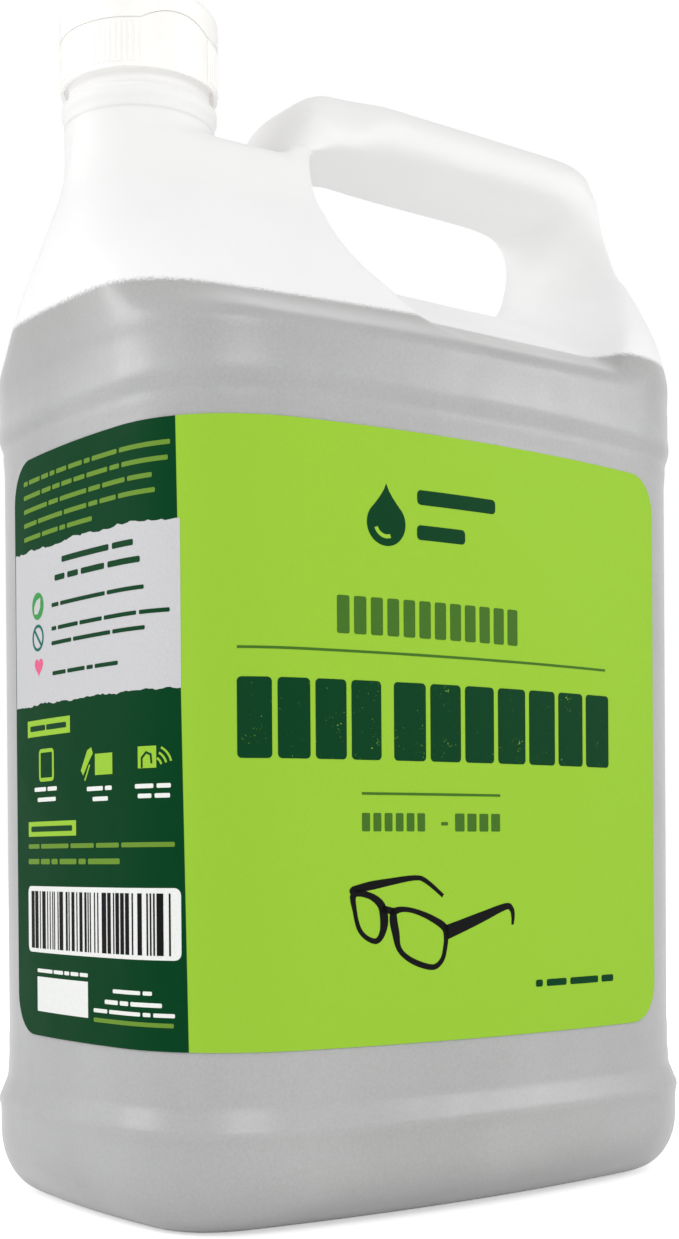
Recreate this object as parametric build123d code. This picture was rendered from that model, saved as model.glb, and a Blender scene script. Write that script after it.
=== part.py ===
"""One-gallon handled jug of lens cleaner with a screw-on flip-top closure.

Frame: origin at the centre of the base underside, +Z up, the wide label face towards -Y, the
neck at the -X end and the carrying handle towards +X. All dimensions in millimetres.
"""
import math
import os

from build123d import *

os.makedirs("parts", exist_ok=True)

# ---------------------------------------------------------------- jug: body
PANEL_HALF_W = 84.0          # half width of the label panel, at the middle of the narrow side
PANEL_HALF_D = 61.4          # half depth of the label panel, at the middle of the wide side
PANEL_CORNER = 29.5          # vertical corner radius of the label panel
BOW_WIDE = 4.5               # how far the wide faces bulge past their own corners
BOW_NARROW = 1.6             # the same on the narrow faces
LOWER_BUMPER = 2.2           # how far the lower bumper stands out past the panel
UPPER_BUMPER = 1.0           # how far the upper bumper stands out past the panel
PANEL_Z = (33.5, 186.0)      # the flat label panel
BUMPER_Z = (22.5, 190.5)     # where the bumpers are at full size again
BUMPER_KNEE = (27.5, 0.7)    # height and share of the lower bumper's stand-out in between
SHOULDER_Z = 202.0           # where the shoulder starts to turn inwards
FOOT_RISE = 16.0             # height of the rounding between the wall and the base
FOOT_INSET_WIDE = 20.5       # how far that rounding draws in the wide faces
FOOT_INSET_NARROW = 12.5     # how far it draws in the narrow faces
FOOT_CORNER = 9.0            # corner radius of the ring the jug stands on
FOOT_STEPS = (0.0, 0.05, 0.14, 0.28, 0.48, 0.72, 1.0)   # shares of the rise
PUSH_UP = 3.0                # depth of the concave base
PUSH_UP_MARGIN = 25.0        # how far inside the label panel the concave base starts
PUSH_UP_CORNER = 20.0        # corner radius of the concave base
WALL = 1.0                   # blow-moulded wall
BASE_WALL = 1.5              # the wall of the base
SHOULDER_SINK = 0.8          # how far the inner skin sinks for each millimetre of wall

# Shoulder, neck end and handle, as horizontal sections:
# z, left x, right x, half depth at the neck end, half depth at the handle end,
# corner radius at the neck end, corner radius at the handle end, bow of wide and narrow faces.
SHOULDER_SECTIONS = (
    (205.0, -83.8, 83.8, 57.0, 57.9, 29.5, 31.5, 4.4, 1.5),
    (209.0, -84.1, 84.1, 49.8, 57.0, 24.5, 31.5, 3.2, 1.2),
    (215.0, -84.4, 84.3, 40.2, 54.3, 19.5, 31.0, 1.8, 0.8),
    (223.0, -83.9, 84.2, 33.8, 49.0, 18.0, 27.0, 0.9, 0.5),
    (231.0, -82.7, 83.9, 28.2, 42.6, 18.3, 22.0, 0.5, 0.3),
    (240.0, -81.2, 83.3, 23.2, 35.5, 18.4, 18.0, 0.4, 0.2),
    (252.0, -79.4, 82.3, 19.4, 28.3, 18.4, 13.5, 0.3, 0.1),
    (263.0, -79.0, 81.2, 18.3, 22.8, 17.7, 11.0, 0.3, 0.1),
    (270.0, -79.0, 80.5, 18.2, 20.6, 17.6, 10.0, 0.3, 0.1),
    (276.6, -78.4, 79.3, 17.2, 18.2, 16.6, 9.0, 0.3, 0.1),
    (280.4, -76.0, 76.3, 14.0, 14.4, 13.4, 8.0, 0.3, 0.1),
    (282.0, -72.0, 72.2, 9.8, 9.9, 9.2, 6.0, 0.3, 0.1),
)

# ---------------------------------------------------------------- jug: handle opening
HOLE_LEFT = -21.5            # finger opening, left wall
HOLE_RIGHT = 69.5            # right wall
HOLE_TOP = 266.8             # underside of the grip
HOLE_SILL = 235.5            # ridge of the sill under the grip
HOLE_ELBOW = 249.0           # where the left wall starts to run diagonally to the sill
HOLE_FOOT = -12.5            # where that diagonal reaches the sill
HOLE_RIGHT_FOOT = 58.0       # where the sill starts to rise to the right wall
HOLE_RIGHT_ELBOW = 246.0     # where that rise reaches the right wall
HOLE_ROUND = 7.0             # rounding of the opening's corners
HOLE_FLARE = 14.0            # how far the right wall has opened out at the reach of the scoop
SILL_HALF = 7.0              # half width of the level part of the sill
SCOOP_Z = 203.5              # how low the scooped sill has fallen at the outside of the jug
SCOOP_LEFT = -16.0           # left end of the scoop there
SCOOP_SLANT = 6.0            # how far its lower left corner is cut off
SCOOP_RIGHT = 44.0           # right end of the scoop there
SCOOP_REACH = 66.0           # distance from the middle plane to where those three are taken
SADDLE_Z = 259.0             # low point between the neck and the grip
RAMP = ((-29.5, 259.0), (-20.3, 277.4), (-11.5, 282.6))   # outline from the saddle up to the grip
RAMP_ROUND = 4.0             # rounding between the straight stretches of that outline
RAMP_SOFT = 3.0              # rounding of the side edges of the ramp and the saddle
OPENING_SOFT = 3.0           # rounding of the opening's outer edges
RAMP_SIDE_Y = 6.0            # those side edges lie further than this from the middle plane
RAMP_GROWTH = ((0.4, 1.0), (0.7, 0.7), (0.2, 1.0))   # how the ramp's points follow the wall, in X and Z
SLANT_GROWTH = 0.4           # how the ends of the opening's slanted sides follow it
RAMP_SOFT_LOSS = 0.4         # how much smaller these roundings are inside, for each millimetre of wall
OPENING_SOFT_LOSS = 1.2
FAR = (-120.0, 320.0)        # the cutter above the saddle reaches out to here, in X and Z
FAR_DEPTH = 80.0             # and this far to the front and to the back

# ---------------------------------------------------------------- neck finish, 38-400
NECK_X = -60.7
NECK_R = 18.3                # neck below the bead
BEAD_R = 18.9
BEAD_Z = (264.6, 267.6)
BEAD_CHAMFER = 0.7
NECK_BURY = 6.0              # how far the neck runs down into the jug below the saddle
BORE_BURY = 12.0             # how far its bore does
FINISH_R = 17.1              # root of the thread
THREAD_R = 18.2              # crest of the thread
BORE_R = 15.5
LAND_Z = 279.2               # sealing land, top of the neck
THREAD_PITCH = 4.233         # six threads to the inch
THREAD_TURNS = 1.25
THREAD_START_Z = 271.6
THREAD_ROOT_W = 2.2
THREAD_CREST_W = 1.1
THREAD_BURY = 0.25           # how far a thread ridge is rooted in the wall that carries it

# ---------------------------------------------------------------- contents
FILL_Z = 215.8               # liquid level
LIQUID_GAP = 0.05            # kept between the liquid and the wall
LEVEL_BOX = 400.0            # width of the block that the liquid is cut level with

# ---------------------------------------------------------------- label
LABEL_Z = (42.0, 182.8)
LABEL_T = 0.15
LABEL_GAP = 0.02             # adhesive
LABEL_END_X = 59.6           # end of the sheet on the wide face
LABEL_END_Y = 25.1           # end of the sheet round the narrow face
LABEL_ROUND = 10.0           # its rounded outer corners
LABEL_SPARE = 5.0            # how far the sleeve that it is cut from runs past it
LABEL_LAP = 12.0             # how far inside the jug's sides its two windows start
LABEL_REACH = 100.0          # how far those windows reach outwards

# ---------------------------------------------------------------- seal and wad
FOIL_R = 17.0
FOIL_T = 0.15
WAD_R = 17.25
WAD_BORE = 11.0
WAD_T = 0.95

# ---------------------------------------------------------------- closure
SPARE = 1.0                  # how far cutters and joined forms run past the faces they meet
OVERLAP = 0.5                # the same for the thin rings of the closure
CAP_R = 19.3                 # over the ribs
RIB_DEPTH = 0.22
RIB_COUNT = 90
RIM_Z = 271.0                # lower rim
SEAM_Z = 282.4               # parting between base and lid
CAP_BORE_R = 18.35           # inside of the skirt
CAP_THREAD_R = 17.4          # crest of the skirt thread
CAP_THREAD_SHIFT = 2.1165    # half a pitch: the skirt thread lies between the neck's turns
CAP_THREAD_TURNS = 1.0
CAP_THREAD_ROOT_W = 1.8
CAP_THREAD_CREST_W = 0.9
DECK_T = 1.6
GUIDE_R = 17.7               # ring that locates the lid
GUIDE_T = 1.1
GUIDE_H = 2.4
SPOUT_BORE = 3.5
SPOUT_R = 4.8
SPOUT_H = 2.6
RIM_BAND = 1.2               # plain band below the ribs
SEAM_BAND = 0.8              # plain band above them
THUMB_HALF_W = 9.2           # half width of the thumb recess
THUMB_R = 18.95              # radius of the recessed skirt there
THUMB_DEPTH = 8.0            # depth of the block that cuts it
THUMB_INNER_Y = 14.0         # how far in the arch is cut from the front
THUMB_ARCH = 2.5             # how far the arch rises above the parting
THUMB_FOOT = 3.0             # how far the slab that cuts it runs down below the parting
THUMB_LAP = 0.3              # how far the lip under the arch is rooted in the guide ring
LID_TOP_Z = 291.4
LID_WALL = 1.4
LID_ROUND = 3.8
LID_ROUND_IN = 2.6           # the same rounding inside
LID_GAP = 0.08               # parting gap between lid and base
PLUG_R = 3.4
PLUG_TIP_R = 3.0
PLUG_DEPTH = 2.0             # how far the plug reaches into the spout
PLUG_RUN = 0.3               # how far its cone runs on above the spout
PLUG_STEM_R = 4.0            # the stem that carries it
PLUG_STEM_GAP = 0.2          # gap between the stem and the top of the spout

# ---------------------------------------------------------------- living hinge
HINGE_Y = 19.8               # hinge line behind the closure
HINGE_W = 9.0
HINGE_T = 0.35
HINGE_REACH = 1.5            # how far the web runs up the lid and down the base
HINGE_ROOT = 0.02            # how far it is rooted in them
HINGE_TAIL_T = 0.25          # its thickness at both ends
HINGE_FLAT_OUT = 0.3         # half height of its flat crown, outside
HINGE_FLAT_IN = 0.2          # and inside


# ---------------------------------------------------------------- helpers
def turned(direction, degrees):
    """A plan direction turned anticlockwise."""
    angle = math.radians(degrees)
    x = direction[0] * math.cos(angle) - direction[1] * math.sin(angle)
    y = direction[0] * math.sin(angle) + direction[1] * math.cos(angle)
    return (x, y)


def along(point, direction, distance):
    """The point a distance from another along a plan direction."""
    return (point[0] + direction[0] * distance, point[1] + direction[1] * distance)


def bowed_side(start, end, bow):
    """Control points of a gently bowed side and its end directions; the bow is to the right."""
    length = math.hypot(end[0] - start[0], end[1] - start[1])
    chord = ((end[0] - start[0]) / length, (end[1] - start[1]) / length)
    swing = math.degrees(2 * math.atan(2 * bow / length))
    leave = turned(chord, -swing)
    arrive = turned(chord, swing)
    controls = (start, along(start, leave, length / 3), along(end, arrive, -length / 3), end)
    return controls, leave, arrive


def section(z, left, right, half_left, half_right, round_left, round_right, bow_wide, bow_narrow):
    """One horizontal outline of the jug, symmetric front to back, as eight tangent curves."""
    front_left = (left + round_left, -half_left)
    front_right = (right - round_right, -half_right)
    right_front = (right, -(half_right - round_right))
    right_back = (right, half_right - round_right)
    back_right = (right - round_right, half_right)
    back_left = (left + round_left, half_left)
    left_back = (left, half_left - round_left)
    left_front = (left, -(half_left - round_left))
    sides = (
        (bowed_side(front_left, front_right, bow_wide), round_left),
        (bowed_side(right_front, right_back, bow_narrow), round_right),
        (bowed_side(back_right, back_left, bow_wide), round_right),
        (bowed_side(left_back, left_front, bow_narrow), round_left),
    )
    rounds = (round_right, round_right, round_left, round_left)
    handle = 4 / 3 * math.tan(math.pi / 8)
    edges = []
    for index, ((controls, _, arrive), _) in enumerate(sides):
        (next_controls, next_leave, _), _ = sides[(index + 1) % 4]
        reach = handle * rounds[index]
        corner = (
            controls[3],
            along(controls[3], arrive, reach),
            along(next_controls[0], next_leave, -reach),
            next_controls[0],
        )
        for curve in (controls, corner):
            edges.append(Bezier(*[(x, y, z) for x, y in curve]))
    return Wire(edges)


def body_section(z, stand_out):
    """The outline of the jug below the shoulder, standing out past the label panel."""
    half_w = PANEL_HALF_W - BOW_NARROW + stand_out
    half_d = PANEL_HALF_D - BOW_WIDE + stand_out
    corner = PANEL_CORNER + stand_out
    return section(z, -half_w, half_w, half_d, half_d, corner, corner, BOW_WIDE, BOW_NARROW)


def ring_solid(lower, upper):
    """A straight-sided solid between two outlines."""
    return Solid.make_loft([lower, upper], ruled=True)


def foot_solid(floor, stand_out):
    """The rounded foot: the outline draws in towards the base, most on the wide faces."""
    outlines = []
    full_corner = PANEL_CORNER + stand_out
    for share in FOOT_STEPS:
        drawn = 1 - math.sqrt(1 - (1 - share) ** 2)
        half_w = PANEL_HALF_W - BOW_NARROW + stand_out - FOOT_INSET_NARROW * drawn
        half_d = PANEL_HALF_D - BOW_WIDE + stand_out - FOOT_INSET_WIDE * drawn
        corner = full_corner - (full_corner - FOOT_CORNER) * drawn
        z = floor + share * FOOT_RISE
        outlines.append(
            section(z, -half_w, half_w, half_d, half_d, corner, corner, BOW_WIDE, BOW_NARROW)
        )
    return Solid.make_loft(outlines, ruled=False)


def body_lower(inset):
    """The jug from the base to the shoulder, shrunk by inset."""
    floor = BASE_WALL if inset else 0.0
    low = LOWER_BUMPER - inset
    mid = -inset
    high = UPPER_BUMPER - inset
    stack = (
        (floor + FOOT_RISE, low),
        (BUMPER_Z[0], low),
        (BUMPER_KNEE[0], mid + BUMPER_KNEE[1] * (low - mid)),
        (PANEL_Z[0], mid),
        (PANEL_Z[1], mid),
        (BUMPER_Z[1], high),
        (SHOULDER_Z, high),
    )
    solid = Part() + foot_solid(floor, low)
    for (z0, out0), (z1, out1) in zip(stack[:-1], stack[1:]):
        solid += ring_solid(body_section(z0, out0), body_section(z1, out1))
    hollow_w = PANEL_HALF_W - PUSH_UP_MARGIN + inset
    hollow_d = PANEL_HALF_D - PUSH_UP_MARGIN + inset
    round_in = PUSH_UP_CORNER
    hollow = section(
        floor, -hollow_w, hollow_w, hollow_d, hollow_d, round_in, round_in, BOW_WIDE, BOW_NARROW
    )
    roof_w = hollow_w - 2 * PUSH_UP
    roof_d = hollow_d - 2 * PUSH_UP
    round_in = PUSH_UP_CORNER - PUSH_UP
    roof = section(
        floor + PUSH_UP, -roof_w, roof_w, roof_d, roof_d, round_in, round_in, BOW_WIDE, BOW_NARROW
    )
    return solid - ring_solid(hollow, roof)


def body_upper(inset):
    """The shoulder, neck end and handle as one smooth skin, shrunk by inset."""
    outlines = [body_section(SHOULDER_Z, UPPER_BUMPER - inset)]
    for z, left, right, half_l, half_r, round_l, round_r, bow_w, bow_n in SHOULDER_SECTIONS:
        sunk = z - SHOULDER_SINK * inset
        outlines.append(
            section(
                sunk,
                left + inset,
                right - inset,
                half_l - inset,
                half_r - inset,
                round_l - inset,
                round_r - inset,
                bow_w,
                bow_n,
            )
        )
    return Solid.make_loft(outlines, ruled=False)


def opening_outline(y, left, right, foot, elbow, sill, top, right_foot, right_elbow):
    """The outline of the finger opening in an upright plane, with rounded corners."""
    corners = (
        (left, top),
        (left, elbow),
        (foot, sill),
        (right_foot, sill),
        (right, right_elbow),
        (right, top),
    )
    plane = Plane(origin=(0, y, 0), x_dir=(1, 0, 0), z_dir=(0, -1, 0))
    flat = make_face(Polyline(*corners, close=True))
    flat = fillet(flat.vertices(), HOLE_ROUND)
    return (plane * flat).face().outer_wire()


def opening(grow):
    """The finger opening: a tunnel whose sill falls away to the front and to the back."""
    slant = SLANT_GROWTH * grow
    inner = dict(
        left=HOLE_LEFT - grow,
        right=HOLE_RIGHT + grow,
        foot=HOLE_FOOT - slant,
        elbow=HOLE_ELBOW - slant,
        sill=HOLE_SILL - grow,
        top=HOLE_TOP + grow,
        right_foot=HOLE_RIGHT_FOOT + slant,
        right_elbow=HOLE_RIGHT_ELBOW - slant,
    )
    drop = HOLE_SILL - SCOOP_Z
    outer = dict(
        left=SCOOP_LEFT - grow,
        right=HOLE_RIGHT + HOLE_FLARE + grow,
        foot=SCOOP_LEFT + SCOOP_SLANT - slant,
        elbow=HOLE_ELBOW - drop - slant,
        sill=SCOOP_Z - grow,
        top=HOLE_TOP + grow,
        right_foot=SCOOP_RIGHT + slant,
        right_elbow=HOLE_RIGHT_ELBOW - slant,
    )
    middle = Solid.make_loft(
        [opening_outline(-SILL_HALF, **inner), opening_outline(SILL_HALF, **inner)], ruled=True
    )
    cut = Part() + middle
    for side in (-1, 1):
        near = opening_outline(side * SILL_HALF, **inner)
        far = opening_outline(side * SCOOP_REACH, **outer)
        cut += Solid.make_loft([near, far], ruled=True)
    return cut


def above_outline(grow):
    """Everything above the saddle and the ramp up to the grip."""
    far_x, far_z = FAR
    corners = [(far_x, SADDLE_Z - grow)]
    for (x, z), (share_x, share_z) in zip(RAMP, RAMP_GROWTH):
        corners.append((x + share_x * grow, z - share_z * grow))
    corners.append((corners[-1][0], far_z))
    corners.append((far_x, far_z))
    face = make_face(Polyline(*corners, close=True))
    bends = face.vertices().filter_by(lambda v: v.X > far_x + SPARE and v.Y < far_z - SPARE)
    face = fillet(bends, RAMP_ROUND)
    upright = Plane(origin=(0, FAR_DEPTH, 0), x_dir=(1, 0, 0), z_dir=(0, -1, 0)) * face
    return extrude(upright, 2 * FAR_DEPTH, dir=(0, -1, 0))


def softened_cut(form, cutter, radius, chosen):
    """A cut whose new outer edges are rounded; chosen says which of them."""
    result = form - cutter
    edges = new_edges(form, cutter, combined=result).filter_by(chosen)
    return fillet(edges, radius)


def jug_form(inset):
    """The jug without its neck finish, as one solid shrunk by inset."""
    form = body_lower(inset) + body_upper(inset)
    ramp_soft = RAMP_SOFT - RAMP_SOFT_LOSS * inset
    opening_soft = OPENING_SOFT - OPENING_SOFT_LOSS * inset
    form = softened_cut(form, above_outline(inset), ramp_soft, is_ramp_side)
    return softened_cut(form, opening(inset), opening_soft, lambda edge: True)


def is_ramp_side(edge):
    """True for the side edges of the saddle and the ramp, which run along X."""
    middle = edge.position_at(0.5)
    return abs(middle.Y) > RAMP_SIDE_Y and middle.X > NECK_X + SPARE


def cylinder_at(x, y, z0, z1, radius):
    """An upright cylinder between two heights."""
    return Pos(x, y, z0) * Cylinder(radius, z1 - z0, align=(Align.CENTER, Align.CENTER, Align.MIN))


def tube_at(x, y, z0, z1, outer, inner):
    """An upright ring."""
    return cylinder_at(x, y, z0, z1, outer) - cylinder_at(x, y, z0 - SPARE, z1 + SPARE, inner)


def cone_at(x, y, z0, z1, lower, upper):
    """An upright truncated cone."""
    cone = Cone(lower, upper, z1 - z0, align=(Align.CENTER, Align.CENTER, Align.MIN))
    return Pos(x, y, z0) * cone


def thread(root, crest, start_z, turns, root_w, crest_w, bury):
    """A right-hand thread ridge about the neck axis, from a root radius to a crest radius.

    The ridge starts a little inside the material that carries it, by bury.
    """
    outward = 1 if crest > root else -1
    foot = root - outward * bury
    slope = (root_w - crest_w) / abs(crest - root)
    foot_w = root_w + slope * bury
    path = Helix(THREAD_PITCH, THREAD_PITCH * turns, foot)
    profile = Polyline(
        (foot, 0, -foot_w / 2),
        (foot, 0, foot_w / 2),
        (crest, 0, crest_w / 2),
        (crest, 0, -crest_w / 2),
        close=True,
    )
    ridge = sweep(make_face(profile), path=path, is_frenet=True)
    return Pos(NECK_X, 0, start_z) * ridge


# ---------------------------------------------------------------- sub-parts
def make_jug_body():
    """The blow-moulded jug: hollow body, hollow grip, neck with bead and thread."""
    outer = jug_form(0.0)
    outer += cylinder_at(NECK_X, 0, SADDLE_Z - NECK_BURY, BEAD_Z[0] + SPARE, NECK_R)
    bead = cylinder_at(NECK_X, 0, BEAD_Z[0], BEAD_Z[1], BEAD_R)
    outer += chamfer(bead.edges(), BEAD_CHAMFER)
    outer += cylinder_at(NECK_X, 0, BEAD_Z[1] - SPARE, LAND_Z, FINISH_R)
    outer += thread(
        FINISH_R,
        THREAD_R,
        THREAD_START_Z,
        THREAD_TURNS,
        THREAD_ROOT_W,
        THREAD_CREST_W,
        THREAD_BURY,
    )
    inner = jug_form(WALL)
    inner += cylinder_at(NECK_X, 0, SADDLE_Z - BORE_BURY, LAND_Z + SPARE, BORE_R)
    return outer - inner


def make_cleaning_fluid():
    """The liquid, just clear of the wall, up to its level."""
    form = jug_form(WALL + LIQUID_GAP)
    below = Box(LEVEL_BOX, LEVEL_BOX, FILL_Z, align=(Align.CENTER, Align.CENTER, Align.MIN))
    return form & below


def label_window(corner, width, x_dir, z_dir):
    """A block with the sheet's height, rounded at the end that x_dir points to."""
    height = LABEL_Z[1] - LABEL_Z[0]
    plane = Plane(origin=corner, x_dir=x_dir, z_dir=z_dir)
    flat = Rectangle(width, height, align=(Align.MIN, Align.MIN))
    flat = fillet(flat.vertices().group_by(Axis.X)[-1], LABEL_ROUND)
    return extrude(plane * flat, LABEL_REACH)


def make_wrap_label():
    """One sheet round the wide front face and the narrow face at the neck end."""
    low = LABEL_Z[0] - LABEL_SPARE
    high = LABEL_Z[1] + LABEL_SPARE
    face = LABEL_GAP + LABEL_T
    outside = ring_solid(body_section(low, face), body_section(high, face))
    inside = ring_solid(
        body_section(low - SPARE, LABEL_GAP), body_section(high + SPARE, LABEL_GAP)
    )
    sleeve = Part() + outside - inside
    start = LABEL_LAP - PANEL_HALF_W
    front = label_window((start, 0, LABEL_Z[0]), LABEL_END_X - start, (1, 0, 0), (0, -1, 0))
    start = LABEL_LAP - PANEL_HALF_D
    side = label_window((0, start, LABEL_Z[1]), LABEL_END_Y - start, (0, 1, 0), (-1, 0, 0))
    return (sleeve & front) + (sleeve & side)


def make_foil_seal():
    """The heat-sealed foil across the neck land."""
    return cylinder_at(NECK_X, 0, LAND_Z, LAND_Z + FOIL_T, FOIL_R)


def make_closure_wad():
    """The ring-shaped foam wad held up inside the closure."""
    floor = LAND_Z + FOIL_T
    return tube_at(NECK_X, 0, floor, floor + WAD_T, WAD_R, WAD_BORE)


def ribbed_disc(radius, depth, count):
    """A plan outline with fine upright ribs, plain across the thumb recess at the front."""
    points = []
    for index in range(count):
        middle = 360 * index / count - 90
        for share, sunk in ((-0.30, depth), (-0.18, 0.0), (0.18, 0.0), (0.30, depth)):
            angle = math.radians(middle + share * 360 / count)
            reach = radius - sunk
            points.append((reach * math.cos(angle), reach * math.sin(angle)))
    return make_face(Polyline(*points, close=True))


def thumb_arch(grow):
    """An upright slab at the front of the closure, bounded above by the thumb arch."""
    half = THUMB_HALF_W + grow
    peak = SEAM_Z + THUMB_ARCH + grow
    foot = SEAM_Z - THUMB_FOOT
    sides = Polyline((half, SEAM_Z), (half, foot), (-half, foot), (-half, SEAM_Z))
    crown = ThreePointArc((-half, SEAM_Z), (0, peak), (half, SEAM_Z))
    plane = Plane(origin=(NECK_X, -THUMB_INNER_Y, 0), x_dir=(1, 0, 0), z_dir=(0, -1, 0))
    return extrude(plane * make_face(sides + crown), CAP_R)


def make_closure_base():
    """The threaded base of the closure, with deck, spout and the ring that guides the lid."""
    deck_z = LAND_Z + FOIL_T + WAD_T
    deck_top = deck_z + DECK_T
    plain_r = CAP_R - RIB_DEPTH
    ribs = ribbed_disc(CAP_R, RIB_DEPTH, RIB_COUNT)
    base = cylinder_at(NECK_X, 0, RIM_Z, SEAM_Z, plain_r)
    base += Pos(NECK_X, 0, RIM_Z + RIM_BAND) * extrude(ribs, SEAM_Z - RIM_Z - RIM_BAND - SEAM_BAND)
    skirt_h = SEAM_Z - RIM_Z
    thumb_slot = Pos(NECK_X, -CAP_R, RIM_Z) * Box(2 * THUMB_HALF_W, THUMB_DEPTH, 2 * skirt_h)
    skirt = tube_at(NECK_X, 0, RIM_Z - SPARE, SEAM_Z + SPARE, CAP_R + SPARE, THUMB_R)
    base -= thumb_slot & skirt
    base -= cylinder_at(NECK_X, 0, RIM_Z - SPARE, deck_z, CAP_BORE_R)
    base -= tube_at(NECK_X, 0, deck_top, SEAM_Z + SPARE, GUIDE_R - GUIDE_T, SPOUT_R)
    base += tube_at(NECK_X, 0, SEAM_Z - OVERLAP, SEAM_Z + GUIDE_H, GUIDE_R, GUIDE_R - GUIDE_T)
    base += tube_at(NECK_X, 0, deck_top - OVERLAP, SEAM_Z + SPOUT_H, SPOUT_R, SPOUT_BORE)
    base -= cylinder_at(NECK_X, 0, deck_z - SPARE, SEAM_Z + SPOUT_H + SPARE, SPOUT_BORE)
    lip_top = SEAM_Z + THUMB_ARCH + SPARE
    lip = tube_at(NECK_X, 0, SEAM_Z - OVERLAP, lip_top, THUMB_R, GUIDE_R - THUMB_LAP)
    base += lip & thumb_arch(0.0)
    base += thread(
        CAP_BORE_R,
        CAP_THREAD_R,
        THREAD_START_Z + CAP_THREAD_SHIFT,
        CAP_THREAD_TURNS,
        CAP_THREAD_ROOT_W,
        CAP_THREAD_CREST_W,
        THREAD_BURY,
    )
    return base


def make_flip_lid():
    """The hinged lid with its sealing plug and the arch for the thumb."""
    foot = SEAM_Z + LID_GAP
    dome = cylinder_at(NECK_X, 0, foot, LID_TOP_Z, CAP_R)
    dome = fillet(dome.edges().filter_by(GeomType.CIRCLE).sort_by(Axis.Z)[-1], LID_ROUND)
    hollow = cylinder_at(NECK_X, 0, foot - SPARE, LID_TOP_Z - LID_WALL, CAP_R - LID_WALL)
    hollow = fillet(hollow.edges().filter_by(GeomType.CIRCLE).sort_by(Axis.Z)[-1], LID_ROUND_IN)
    lid = dome - hollow
    lid -= thumb_arch(LID_GAP)
    spout_top = SEAM_Z + SPOUT_H
    lid += cylinder_at(
        NECK_X, 0, spout_top + PLUG_STEM_GAP, LID_TOP_Z - OVERLAP, PLUG_STEM_R
    )
    lid += cone_at(NECK_X, 0, spout_top - PLUG_DEPTH, spout_top + PLUG_RUN, PLUG_TIP_R, PLUG_R)
    return lid


def make_hinge_web():
    """The living hinge: a thin strap bowed out behind the parting."""
    inner = HINGE_Y - HINGE_T / 2
    outer = HINGE_Y + HINGE_T / 2
    root = CAP_R - HINGE_ROOT
    tail = CAP_R + HINGE_TAIL_T
    outline = (
        (root, SEAM_Z - HINGE_REACH),
        (tail, SEAM_Z - HINGE_REACH),
        (outer, SEAM_Z - HINGE_FLAT_OUT),
        (outer, SEAM_Z + HINGE_FLAT_OUT),
        (tail, SEAM_Z + HINGE_REACH),
        (root, SEAM_Z + HINGE_REACH),
        (inner, SEAM_Z + HINGE_FLAT_IN),
        (inner, SEAM_Z - HINGE_FLAT_IN),
    )
    plane = Plane(origin=(NECK_X - HINGE_W / 2, 0, 0), x_dir=(0, 1, 0), z_dir=(1, 0, 0))
    return extrude(plane * make_face(Polyline(*outline, close=True)), HINGE_W)


MAKERS = {
    "jug_body": make_jug_body,
    "cleaning_fluid": make_cleaning_fluid,
    "wrap_label": make_wrap_label,
    "foil_seal": make_foil_seal,
    "closure_wad": make_closure_wad,
    "closure_base": make_closure_base,
    "flip_lid": make_flip_lid,
    "hinge_web": make_hinge_web,
}

for node, maker in MAKERS.items():
    shape = Part() + maker()
    shape.label = node
    export_step(shape, f"parts/{node}.step")
    print(node, round(shape.volume, 1), len(shape.solids()), shape.is_valid)
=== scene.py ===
"""One-gallon lens cleaner jug with a flip-top closure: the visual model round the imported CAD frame.

Metres, +Z up, the wide label face towards -Y, the neck at -X. Lengths below are in millimetres
unless a name says otherwise; MM turns them into metres.
"""

import math
import random

import bmesh
import bpy
import numpy as np
from mathutils import Matrix, Vector


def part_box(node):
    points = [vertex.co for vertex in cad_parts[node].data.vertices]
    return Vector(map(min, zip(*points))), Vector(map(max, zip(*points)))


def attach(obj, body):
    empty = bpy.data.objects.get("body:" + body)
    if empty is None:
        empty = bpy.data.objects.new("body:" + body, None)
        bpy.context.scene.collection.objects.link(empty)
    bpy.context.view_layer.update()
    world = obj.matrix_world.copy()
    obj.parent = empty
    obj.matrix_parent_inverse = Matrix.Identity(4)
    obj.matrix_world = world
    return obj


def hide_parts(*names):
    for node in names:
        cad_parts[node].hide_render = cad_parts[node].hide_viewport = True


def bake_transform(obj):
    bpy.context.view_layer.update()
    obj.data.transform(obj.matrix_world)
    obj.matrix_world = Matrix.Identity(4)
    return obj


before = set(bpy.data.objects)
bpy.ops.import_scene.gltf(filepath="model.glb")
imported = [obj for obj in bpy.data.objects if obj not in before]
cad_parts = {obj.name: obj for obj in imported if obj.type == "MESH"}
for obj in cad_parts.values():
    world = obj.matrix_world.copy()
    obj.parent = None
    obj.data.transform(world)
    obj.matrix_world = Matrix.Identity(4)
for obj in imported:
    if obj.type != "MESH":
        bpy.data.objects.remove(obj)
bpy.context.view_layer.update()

MM = 0.001

# ---------------------------------------------------------------- camera
CAMERA_AT = (-279.6, -379.8, 85.4)
CAMERA_YAW = 0.632            # radians to the right of +Y
CAMERA_PITCH = -0.008
CAMERA_ROLL = -0.007
CAMERA_LENS = 51.45           # for a 36 mm sensor on the long side
CAMERA_SHIFT = 0.2018

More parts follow.
